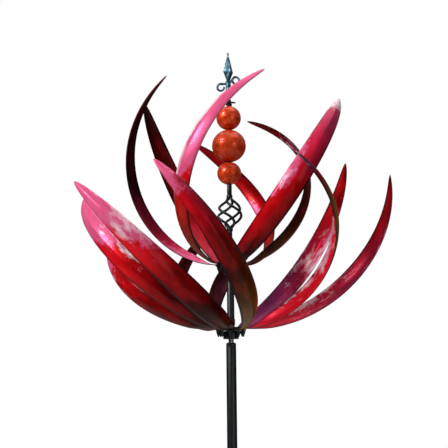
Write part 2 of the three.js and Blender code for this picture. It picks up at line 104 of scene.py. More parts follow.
def add(tree, kind, inputs=None, stops=None, **settings):
    """Adds a node; inputs are values, hex codes or the sockets that feed them, stops are a ramp's."""
    node = tree.nodes.new("ShaderNode" + kind)
    for key, value in settings.items():
        setattr(node, key, value)
    for key, value in (inputs or {}).items():
        if isinstance(value, bpy.types.NodeSocket):
            tree.links.new(value, node.inputs[key])
        else:
            node.inputs[key].default_value = colour(value) if isinstance(value, str) else value
    if stops:
        elements = node.color_ramp.elements
        while len(elements) < len(stops):
            elements.new(1.0)
        for element, (place, value) in zip(elements, stops):
            element.position = place
            element.color = colour(value) if isinstance(value, str) else (value, value, value, 1)
    return node


def start_finish(name):
    """An empty material with its output node."""
    material = bpy.data.materials.new(name)
    material.use_nodes = True
    material.node_tree.nodes.clear()
    return material, material.node_tree


def end_finish(tree, shader):
    add(tree, "OutputMaterial", {"Surface": shader.outputs["BSDF"]})


# %% [markdown]
# ### Candy enamel
# The blades are stamped steel with candy enamel: a clear red lacquer over a bright base, then a
# gloss coat. Light goes through the red twice, so it is vivid where thin and almost black where thick.
# Light and shade are painted into this colour: towards the tips a pink painted reflection of the
# sky with a ragged edge and white streaks as painted highlights, near the hub a brown painted
# reflection of the ground, and painted shade as darker, thicker lacquer; some faces also go purple
# near the hub. This differs from blade to blade and from face to face, so each blade carries two
# painted attributes, one for each face, and the finish reads them: red for the painted sky
# reflection, green for how thin the lacquer is, which paints the shade, blue for its tint, alpha for
# the painted highlights. The streaks run along the blade, so they follow its UV map, which is
# written in metres.

# %% Candy enamel
def candy_enamel(name, layer):
    material, tree = start_finish(name)
    painted = add(tree, "Attribute", attribute_name=layer)
    parts = add(tree, "SeparateColor", {"Color": painted.outputs["Color"]})
    # Red is the painted sky reflection, green the lacquer's thinness, which paints light and shade, and blue
    # the tint, whose brown is a painted reflection of the ground.
    sky_reflection, thin, ground_reflection_and_purple = (parts.outputs[channel] for channel in ("Red", "Green", "Blue"))

    # Streaks about 20 mm wide and 60 mm long move the lacquer's thickness a little.
    flat = add(tree, "UVMap", uv_map="UVMap").outputs["UV"]
    along = add(tree, "Mapping", {"Vector": flat, "Scale": (50.0, 17.0, 1.0)})
    streaks = add(tree, "TexNoise", {
        "Vector": along.outputs["Vector"], "Scale": 1.0, "Detail": 4.0, "Roughness": 0.6,
    })
    cloud = streaks.outputs["Fac"]
    # How thin the lacquer is paints the light and shade: it sets how dark the red is, from near black in
    # painted shade to vivid red where lit.
    cloudy = add(tree, "Math", {0: cloud, 1: 0.7, 2: thin}, operation="MULTIPLY_ADD")
    shade_and_streak_level = add(tree, "Math", {0: cloudy.outputs["Value"], 1: 0.35}, operation="SUBTRACT").outputs["Value"]
    red = add(tree, "ValToRGB", {"Fac": shade_and_streak_level}, stops=[
        (0.0, "#0C0101"), (0.25, "#3E0304"), (0.5, "#8E060B"), (0.75, "#CA0A14"), (1.0, "#EA1A28"),
    ])

    # Near the hub a brown painted reflection of the ground is mixed in where the tint is below a half; above
    # a half the lacquer goes purple.
    ground_reflection_brown = add(tree, "Mix", {"Factor": shade_and_streak_level, "A": "#281002", "B": "#B0881E"}, data_type="RGBA")
    ground_reflection_share = add(tree, "MapRange", {"Value": ground_reflection_and_purple, "From Min": 0.5, "From Max": 0.0})
    with_ground_reflection = add(tree, "Mix", {
        "Factor": ground_reflection_share.outputs["Result"], "A": red.outputs["Color"], "B": ground_reflection_brown.outputs["Result"],
    }, data_type="RGBA")
    purple = add(tree, "Mix", {"Factor": shade_and_streak_level, "A": "#1A0418", "B": "#983C7C"}, data_type="RGBA")
    purpling = add(tree, "MapRange", {"Value": ground_reflection_and_purple, "From Min": 0.5, "From Max": 1.0})
    with_reflection_and_purple = add(tree, "Mix", {
        "Factor": purpling.outputs["Result"], "A": with_ground_reflection.outputs["Result"], "B": purple.outputs["Result"],
    }, data_type="RGBA")

    # The pink painted reflection of the sky has a ragged edge, because noise of about 12 mm is added before
    # a steep step.
    spot = add(tree, "TexCoord").outputs["Object"]
    ragged = add(tree, "TexNoise", {"Vector": spot, "Scale": 85.0, "Detail": 5.0, "Roughness": 0.65})
    reach = add(tree, "Math", {0: ragged.outputs["Fac"], 1: 0.5, 2: sky_reflection}, operation="MULTIPLY_ADD")
    edge = add(tree, "MapRange", {"Value": reach.outputs["Value"], "From Min": 0.70, "From Max": 0.82})
    sky_reflection_pink = add(tree, "Mix", {"Factor": cloud, "A": "#B42052", "B": "#EC709A"}, data_type="RGBA")
    with_sky_reflection = add(tree, "Mix", {
        "Factor": edge.outputs["Result"], "A": with_reflection_and_purple.outputs["Result"], "B": sky_reflection_pink.outputs["Result"],
    }, data_type="RGBA")

    # White streaks 11 mm wide are painted highlights: the painted alpha says how much of their noise turns
    # white.
    broad = add(tree, "Mapping", {
        "Vector": flat, "Location": (3.0, 5.0, 0.0), "Scale": (90.0, 26.0, 1.0),
    })
    highlight_streaks = add(tree, "TexNoise", {
        "Vector": broad.outputs["Vector"], "Scale": 1.0, "Detail": 5.0, "Roughness": 0.65,
    })
    painted_highlight = add(tree, "Math", {0: highlight_streaks.outputs["Fac"], 1: painted.outputs["Alpha"]}, operation="ADD")
    highlight_share = add(tree, "MapRange", {
        "Value": painted_highlight.outputs["Value"], "From Min": 0.86, "From Max": 1.12, "To Max": 0.9,
    })
    final = add(tree, "Mix", {
        "Factor": highlight_share.outputs["Result"], "A": with_sky_reflection.outputs["Result"], "B": "#F8E4EC",
    }, data_type="RGBA")

    # Orange peel in the gloss coat, 2 mm across and very shallow.
    peel = add(tree, "TexNoise", {"Vector": spot, "Scale": 500.0, "Detail": 2.0})
    bump = add(tree, "Bump", {"Height": peel.outputs["Fac"], "Strength": 0.06, "Distance": 0.0005})
    rough = add(tree, "MapRange", {"Value": cloud, "To Min": 0.24, "To Max": 0.42})
    end_finish(tree, add(tree, "BsdfPrincipled", {
        "Base Color": final.outputs["Result"], "Roughness": rough.outputs["Result"],
        "Metallic": 0.2, "Specular IOR Level": 0.05, "Coat Weight": 0.05, "Coat Roughness": 0.06,
        "Normal": bump.outputs["Normal"],
    }))
    return material


ENAMEL_OUTER = candy_enamel("candy_enamel_outer_face", "outer_face")
ENAMEL_INNER = candy_enamel("candy_enamel_inner_face", "inner_face")
print("enamels:", ENAMEL_OUTER.name, ENAMEL_INNER.name)


# %% Sheared edge
def sheared_edge():
    """The cut edge of the sheet: thin dark lacquer over burred steel."""
    material, tree = start_finish("dark_sheared_edge")
    place = add(tree, "TexCoord").outputs["Object"]
    # Burrs about 3 mm long, which catch the light.
    burr = add(tree, "TexNoise", {"Vector": place, "Scale": 330.0, "Detail": 3.0})
    tone = add(tree, "ValToRGB", {"Fac": burr.outputs["Fac"]},
               stops=[(0.35, "#16060A"), (0.6, "#3A141C"), (0.75, "#7C6468")])
    bump = add(tree, "Bump", {"Height": burr.outputs["Fac"], "Strength": 0.3, "Distance": 0.0003})
    end_finish(tree, add(tree, "BsdfPrincipled", {
        "Base Color": tone.outputs["Color"], "Roughness": 0.5, "Metallic": 0.4,
        "Normal": bump.outputs["Normal"],
    }))
    return material


EDGE = sheared_edge()
print("finish:", EDGE.name)

# %% [markdown]
# ### Powder coat, iron, steel and glaze
# The mast and hubs are powder coated: polymer powder baked on, blue-black, with a fine orange peel.
# The spear and scrolls are forged iron with a blued patina rubbed bright on the high places. Nuts and
# shafts are zinc-plated steel. The balls are spun steel with a fired orange glaze, crackled and
# mottled, which pools darker in patches.

# %% Powder coat
def powder_coat():
    material, tree = start_finish("black_powder_coat")
    place = add(tree, "TexCoord").outputs["Object"]
    # Garden dust in patches of 17 mm greys the black and dulls its gloss.
    dust = add(tree, "TexNoise", {"Vector": place, "Scale": 60.0, "Detail": 5.0, "Roughness": 0.7})
    tone = add(tree, "ValToRGB", {"Fac": dust.outputs["Fac"]},
               stops=[(0.3, "#030507"), (0.6, "#080F14"), (0.8, "#12222A")])
    # Peel 1.2 mm across, a little coarser than real so that it shows.
    peel = add(tree, "TexNoise", {"Vector": place, "Scale": 850.0, "Detail": 1.0})
    bump = add(tree, "Bump", {"Height": peel.outputs["Fac"], "Strength": 0.25, "Distance": 0.0003})
    rough = add(tree, "MapRange", {"Value": dust.outputs["Fac"], "To Min": 0.3, "To Max": 0.55})
    end_finish(tree, add(tree, "BsdfPrincipled", {
        "Base Color": tone.outputs["Color"], "Roughness": rough.outputs["Result"],
        "Specular IOR Level": 0.3, "Coat Weight": 0.1, "Coat Roughness": 0.3,
        "Normal": bump.outputs["Normal"],
    }))
    return material


POWDER = powder_coat()
print("finish:", POWDER.name)


# %% Patinated iron
def patinated_iron():
    material, tree = start_finish("patinated_iron")
    place = add(tree, "TexCoord").outputs["Object"]
    # Patina in patches of about 8 mm, with hammer marks of 4 mm that break up the shine.
    patch = add(tree, "TexNoise", {"Vector": place, "Scale": 120.0, "Detail": 4.0, "Roughness": 0.6})
    tone = add(tree, "ValToRGB", {"Fac": patch.outputs["Fac"]},
               stops=[(0.3, "#101A22"), (0.5, "#34586A"), (0.7, "#86A6B2")])
    hammer = add(tree, "TexVoronoi", {"Vector": place, "Scale": 250.0})
    bump = add(tree, "Bump", {
        "Height": hammer.outputs["Distance"], "Strength": 0.3, "Distance": 0.0006,
    })
    end_finish(tree, add(tree, "BsdfPrincipled", {
        "Base Color": tone.outputs["Color"], "Roughness": 0.42, "Metallic": 0.75,
        "Normal": bump.outputs["Normal"],
    }))
    return material


IRON = patinated_iron()
print("finish:", IRON.name)


# %% Zinc-plated steel
def plated_steel():
    material, tree = start_finish("zinc_plated_steel")
    place = add(tree, "TexCoord").outputs["Object"]
    # Turning marks 0.8 mm apart along the axis draw the highlight out sideways.
    marks = add(tree, "TexWave", {"Vector": place, "Scale": 400.0, "Distortion": 0.6},
                bands_direction="Z")
    tone = add(tree, "ValToRGB", {"Fac": marks.outputs["Fac"]}, stops=[(0.2, "#7C8082"), (0.8, "#B4B8BA")])
    bump = add(tree, "Bump", {"Height": marks.outputs["Fac"], "Strength": 0.1, "Distance": 0.0001})
    end_finish(tree, add(tree, "BsdfPrincipled", {
        "Base Color": tone.outputs["Color"], "Roughness": 0.28, "Metallic": 1.0,
        "Normal": bump.outputs["Normal"],
    }))
    return material


STEEL = plated_steel()
print("finish:", STEEL.name)


# %% Crackled glaze
def crackled_glaze():
    material, tree = start_finish("crackled_orange_glaze")
    place = add(tree, "TexCoord").outputs["Object"]
    # Mottling about 9 mm across, from brick to bright orange.
    mottle = add(tree, "TexNoise", {"Vector": place, "Scale": 110.0, "Detail": 6.0, "Roughness": 0.7})
    tone = add(tree, "ValToRGB", {"Fac": mottle.outputs["Fac"]},
               stops=[(0.30, "#8A1A06"), (0.45, "#CC3810"), (0.62, "#EE4E18"), (0.80, "#B4300C")])
    # Crackle cells of 5 mm, with dirt in the cracks.
    crackle = add(tree, "TexVoronoi", {"Vector": place, "Scale": 200.0}, feature="DISTANCE_TO_EDGE")
    crack = add(tree, "MapRange", {
        "Value": crackle.outputs["Distance"], "From Max": 0.06, "To Min": 0.5, "To Max": 0.0,
    })
    final = add(tree, "Mix", {
        "Factor": crack.outputs["Result"], "A": tone.outputs["Color"], "B": "#4A0E06",
    }, data_type="RGBA")
    bump = add(tree, "Bump", {"Height": mottle.outputs["Fac"], "Strength": 0.25, "Distance": 0.0008})
    end_finish(tree, add(tree, "BsdfPrincipled", {
        "Base Color": final.outputs["Result"], "Roughness": 0.4, "Metallic": 0.3,
        "Specular IOR Level": 0.15, "Coat Weight": 0.3, "Coat Roughness": 0.08,
        "Normal": bump.outputs["Normal"],
    }))
    return material


GLAZE = crackled_glaze()
print("finish:", GLAZE.name)

# %% [markdown]
# ## Turned pieces
# Tubes, cups, sleeves and balls are turned: in the shop on a lathe, here with bmesh's spin, which
# sweeps a section round the axis. The section is a closed loop of edges, so the piece has an inside
# as well. Sharp edges then get a small bevel, since no real edge is perfectly sharp and the bevel
# is what catches the light.

# %% Helpers for pieces
def spin_section(bm, section, sides, centre=(0, 0), phase=0.0):
    """Sweeps a section of (radius, height) points in metres round an upright axis."""
    x, y = centre
    turn = Matrix.Rotation(phase, 3, "Z")
    corners = [bm.verts.new(turn @ Vector((r, 0, z)) + Vector((x, y, 0))) for r, z in section]
    edges = [bm.edges.new(pair) for pair in zip(corners, corners[1:])]
    if section[0] != section[-1] and section[0][0] > 0:
        edges.append(bm.edges.new((corners[-1], corners[0])))
    bmesh.ops.spin(bm, geom=corners + edges, cent=(x, y, 0), axis=(0, 0, 1), angle=math.tau, steps=sides,
                   use_merge=True)
    bmesh.ops.remove_doubles(bm, verts=bm.verts, dist=1e-6)


def ring_section(inner, outer, low, high):
    """The section of a tube; with an inner radius of 0 it is a disc."""
    return [(inner, low), (outer, low), (outer, high), (inner, high)]


def soften(bm, width, segments=2, least=35):
    """Bevels the edges that turn by more than `least` degrees."""
    bm.normal_update()
    sharp = [e for e in bm.edges if len(e.link_faces) == 2 and e.calc_face_angle(0) > math.radians(least)]
    bmesh.ops.bevel(bm, geom=sharp, offset=width, segments=segments, profile=0.5, affect="EDGES",
                    material=-1, clamp_overlap=True)


def make_piece(name, bm, body, finishes, replaced=(), flat=35):
    """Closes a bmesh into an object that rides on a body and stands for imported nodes."""
    mesh = bpy.data.meshes.new(name)
    bm.to_mesh(mesh)
    bm.free()
    mesh.shade_smooth()
    mesh.set_sharp_from_angle(angle=math.radians(flat))
    for finish in finishes:
        mesh.materials.append(finish)
    piece = bpy.data.objects.new(name, mesh)
    bpy.context.scene.collection.objects.link(piece)
    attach(piece, body)
    if replaced:
        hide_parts(*replaced)
    return piece


def turned_piece(name, section, body, finish, replaced=(), sides=SHAFT_SIDES, bevel=0.0004):
    bm = bmesh.new()
    spin_section(bm, section, sides)
    bmesh.ops.recalc_face_normals(bm, faces=bm.faces)
    if bevel:
        soften(bm, bevel)
    return make_piece(name, bm, body, [finish], replaced)


# %% [markdown]
# ## The mast
# Three lengths of black tube stand one on another over couplings, on a steel stake. The sizes are
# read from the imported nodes, so each new piece sits exactly where the old one did.

# %% Pole and couplings
GAP = 0.3 * MM
POLE_WALL = 1.6 * MM
FLANGE = 2.85 * MM  # half the height of a coupler's flange
pole_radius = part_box("pole_upper")[1].x
spigot = pole_radius - POLE_WALL - GAP
for part in ("pole_lower", "pole_middle", "pole_upper"):
    tube = ring_section(pole_radius - POLE_WALL, pole_radius, *height_of(part))
    turned_piece(part + "_tube", tube, "mast", POWDER, [part])
for number in (1, 2):
    part = f"pole_coupler_{number}"
    low, high = height_of(part)
    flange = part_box(part)[1].x
    middle = (low + high) / 2
    section = [(0, low), (spigot, low), (spigot, middle - FLANGE), (flange, middle - FLANGE),
               (flange, middle + FLANGE), (spigot, middle + FLANGE), (spigot, high), (0, high)]
    turned_piece(part + "_turned", section, "mast", POWDER, [part])
print("pole radius", round(pole_radius / MM, 2), "mm")

# %% Pole head, sleeve and nut
low, high = height_of("pole_head")
head_bore = 5.3 * MM
cap = high - 6 * MM
chamfer = 2 * MM
section = [(head_bore, low), (spigot, low), (spigot, cap), (pole_radius, cap),
           (pole_radius, high - chamfer), (pole_radius - chamfer, high), (head_bore, high)]
turned_piece("pole_head_turned", section, "mast", POWDER, ["pole_head"])

low, high = height_of("spacer_sleeve")
sleeve_bore = 4.3 * MM
sleeve = 7 * MM
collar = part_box("spacer_sleeve")[1].x
HUB_PLATE = 3 * MM
lower_hub = height_of("lower_hub_plate")[1] - HUB_PLATE / 2
collar_low = lower_hub + 9 * MM
collar_high = lower_hub + 21 * MM
section = [(sleeve_bore, low), (sleeve, low), (sleeve, collar_low), (collar, collar_low),
           (collar, collar_high), (sleeve, collar_high), (sleeve, high), (sleeve_bore, high)]
turned_piece("spacer_sleeve_turned", section, "mast", POWDER, ["spacer_sleeve"])

low, high = height_of("retaining_nut")
NUT_RADIUS = 7.5 * MM
turned_piece("retaining_nut_hex", ring_section(sleeve_bore, NUT_RADIUS, low, high), "mast", POWDER,
             ["retaining_nut"], sides=6)
for part in ("spindle", "lower_bearing_1", "lower_bearing_2", "upper_bearing_1", "upper_bearing_2"):
    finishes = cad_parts[part].data.materials
    finishes.clear()
    finishes.append(STEEL)
print("sleeve from", round(low / MM), "mm")

# %% [markdown]
# ## The stake
# The mast stands in a socket welded to a step plate, which is pushed into the lawn with the foot;
# four prongs keep it from turning. Each part is its own short solid, and the welds are where
# they overlap. A wing bolt clamps the pole.

# %% Stake
stake_low, stake_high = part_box("ground_stake")
plate_thick = 5 * MM
socket_inner = pole_radius + GAP
socket_outer = socket_inner + 2 * MM
prong = 4.5 * MM
inset = 10 * MM
bm = bmesh.new()
size = Vector((stake_high.x * 2, stake_high.y * 2, plate_thick))
bmesh.ops.create_cube(bm, size=1,
                      matrix=Matrix.Translation((0, 0, plate_thick / 2)) @ Matrix.Diagonal((*size, 1)))
corners = [e for e in bm.edges if abs(e.verts[0].co.z - e.verts[1].co.z) > plate_thick / 2]
bmesh.ops.bevel(bm, geom=corners, offset=8 * MM, segments=5, profile=0.5, affect="EDGES", material=-1,
                clamp_overlap=True)
for sx in (-1, 1):
    for sy in (-1, 1):
        spot = (sx * (stake_high.x - inset), sy * (stake_high.y - inset))
        point = stake_low.z + 25 * MM
        spin_section(bm, [(0, stake_low.z), (prong, point), (prong, MM), (0, MM)], SMALL_SIDES, spot)
sunk = plate_thick - MM
spin_section(bm, ring_section(socket_inner, socket_outer, sunk, stake_high.z), SHAFT_SIDES)
weld = [(socket_outer - MM, sunk), (socket_outer + 4 * MM, sunk),
        (socket_outer + 2.6 * MM, plate_thick + 2.4 * MM), (socket_outer - MM, plate_thick + 4 * MM)]
spin_section(bm, weld, SHAFT_SIDES)
bmesh.ops.recalc_face_normals(bm, faces=bm.faces)
soften(bm, 0.6 * MM)
make_piece("ground_stake_welded", bm, "mast", [POWDER], ["ground_stake"])
print("stake is", [round(v / MM) for v in (stake_high - stake_low)], "mm")

# %% Wing bolt
low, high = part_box("wing_bolt")
height = (low.z + high.z) / 2
shank = 3 * MM
boss = low.x + 2.6 * MM
bm = bmesh.new()
boss_top = boss + 9 * MM
spin_section(bm, [(0, low.x), (shank, low.x), (shank, boss), (2 * shank, boss), (4.5 * MM, boss_top),
                  (0, boss_top)], 24)
quarter = math.pi / 2
for side in (-1, 1):
    ear = Matrix.Translation((0, side * 7 * MM, boss + 5.5 * MM))
    edgeways = Matrix.Rotation(quarter, 4, "X") @ Matrix.Rotation(quarter, 4, "Y")
    bmesh.ops.create_cone(bm, cap_ends=True, segments=28, radius1=6 * MM, radius2=6 * MM, depth=3 * MM,
                          matrix=ear @ edgeways)
bmesh.ops.recalc_face_normals(bm, faces=bm.faces)
lie = Matrix.Translation((0, 0, height)) @ Matrix.Rotation(quarter, 4, "Y")
bmesh.ops.transform(bm, matrix=lie, verts=bm.verts)
soften(bm, 0.5 * MM)
make_piece("wing_bolt_cast", bm, "mast", [STEEL], ["wing_bolt"])
print("wing bolt at", round(height / MM), "mm")

# %% [markdown]
# ## The hubs
# Each rotor hangs on a round plate with a bearing cup pressed under it. The cup has a rounded lower
# edge and a narrow mouth round the shaft. The blades are bolted on top with cone-headed bolts
# from below, a washer and a hexagon nut.

# %% Hub plates and cups
rim = 29 * MM
bore = 9 * MM
cup = 14.7 * MM
wall = 2.4 * MM
for rotor, shaft in (("lower", 5 * MM), ("upper", 7 * MM)):
    body = rotor + "_rotor"
    disc = ring_section(bore, rim, *height_of(rotor + "_hub_plate"))
    turned_piece(rotor + "_hub_disc", disc, body, POWDER, [rotor + "_hub_plate"],
                 sides=56, bevel=0.8 * MM)
    low, high = height_of(rotor + "_bearing_cup")
    mouth = shaft + 1.2 * MM
    section = [(mouth, low), (cup - MM, low), (cup, low + MM), (cup, high), (cup - wall, high),
               (cup - wall, low + wall / 2), (mouth, low + wall / 2)]
    turned_piece(rotor + "_cup_turned", section, body, POWDER, [rotor + "_bearing_cup"])
print("hub discs and cups made")


# %% Bolts
def bolt_piece(rotor, number):
    part = f"{rotor}_bolt_{number}"
    low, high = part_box(part)
    centre = ((low.x + high.x) / 2, (low.y + high.y) / 2)
    under = low.z + 11 * MM
    washer = high.z - 3.2 * MM
    nut = washer + 0.7 * MM
    head = 4.5 * MM
    shank = 2.3 * MM
    inside = shank - 0.2 * MM
    bm = bmesh.new()
    cone = [(0, low.z), (MM, low.z), (head, under - 1.2 * MM), (head, under), (0, under)]
    spin_section(bm, cone, SMALL_SIDES, centre)
    spin_section(bm, ring_section(0, shank, under - MM, high.z), 12, centre)
    spin_section(bm, ring_section(inside, head, washer, nut), SMALL_SIDES, centre)
    spin_section(bm, ring_section(inside, 4.2 * MM, nut, high.z - 0.3 * MM), 6, centre, phase=number)
    bmesh.ops.recalc_face_normals(bm, faces=bm.faces)
    soften(bm, 0.25 * MM, segments=1)
    make_piece(part + "_set", bm, rotor + "_rotor", [POWDER], [part])


BLADES = {"lower": 9, "upper": 6}
for rotor, count in BLADES.items():
    for number in range(1, count + 1):
        bolt_piece(rotor, number)
print("bolts:", sum(BLADES.values()))

# %% [markdown]
# ## The blades
# A blade is a leaf of 1.2 mm sheet, stamped hollow along its middle and rolled into a curve, then
# bolted down by its narrow end and twisted by hand until it leans. It could be sculpted, but a sheet
# is easier as a flat grid whose every vertex is carried onto the bent leaf: first a walk along the
# centreline gives a place and three directions for each row, then each row is spread across it.
# Solidify gives the sheet its thickness and puts the second finish on the inner side.

# %% The rotors' numbers
LEAF = {
    "skew": 0.85, "fullness": 0.55, "tab": 10 * MM, "tip": 2 * MM, "bend": 30 * MM, "twist": 60 * MM,
    "sheet": 1.2 * MM, "back": 4.6 * MM,
}
ROTORS = {
    "lower": {
        "start": 53.1, "lean": 41.4, "rise": 9.3, "curl": 102.9, "tighten": 17.7,
        "length": 488.4 * MM, "width": 42.2 * MM, "hollow": 8.4 * MM,
        "set": [
            (18.6, -2, -10.7), (-1.4, 4.3, -8.1), (-19.2, 5.7, 18.3), (-12.7, 9.1, 6.8), (13.1, -1.1, -13.8),
            (-15.6, 3, 0.9), (6.5, -11.7, 5.1), (0.6, -7.6, -9.3), (-14.5, 4.4, 13.4),
        ],
    },
    "upper": {
        "start": 142.8, "lean": -28.9, "rise": 6.2, "curl": 179.4, "tighten": -34.3,
        "length": 495 * MM, "width": 42.2 * MM, "hollow": 8.4 * MM,
        "set": [
            (-6, 2, -1.8), (-3.9, 3.3, -1.5), (-1.8, 2.1, 1.6), (-3.4, -6.8, -3.1), (-5.3, 3.1, 9.6),
            (-2.9, -3.9, -6.9),
        ],
    },
}
# Painted light, shade and tint for each face, at five places from root to tip, first along the upper
# edge and then along the lower one. The first channel is the pink painted reflection of the sky,
# which shows above a half; thin paints the shade, 0 for black to 1 for vivid; tint is -1 for brown, a
# painted reflection of the ground, 0 for none and 1 for purple; the last is the painted highlight,
# 0 for none to 1 for white.
CHANNELS = ("sky_reflection", "thin", "ground_reflection_and_purple", "painted_highlight")
NONE = ((0, 0, 0, 0, 0), (0, 0, 0, 0, 0))
PLAIN = {"thin": ((0.4, 0.5, 0.6, 0.6, 0.5), (0.35, 0.45, 0.5, 0.5, 0.45))}
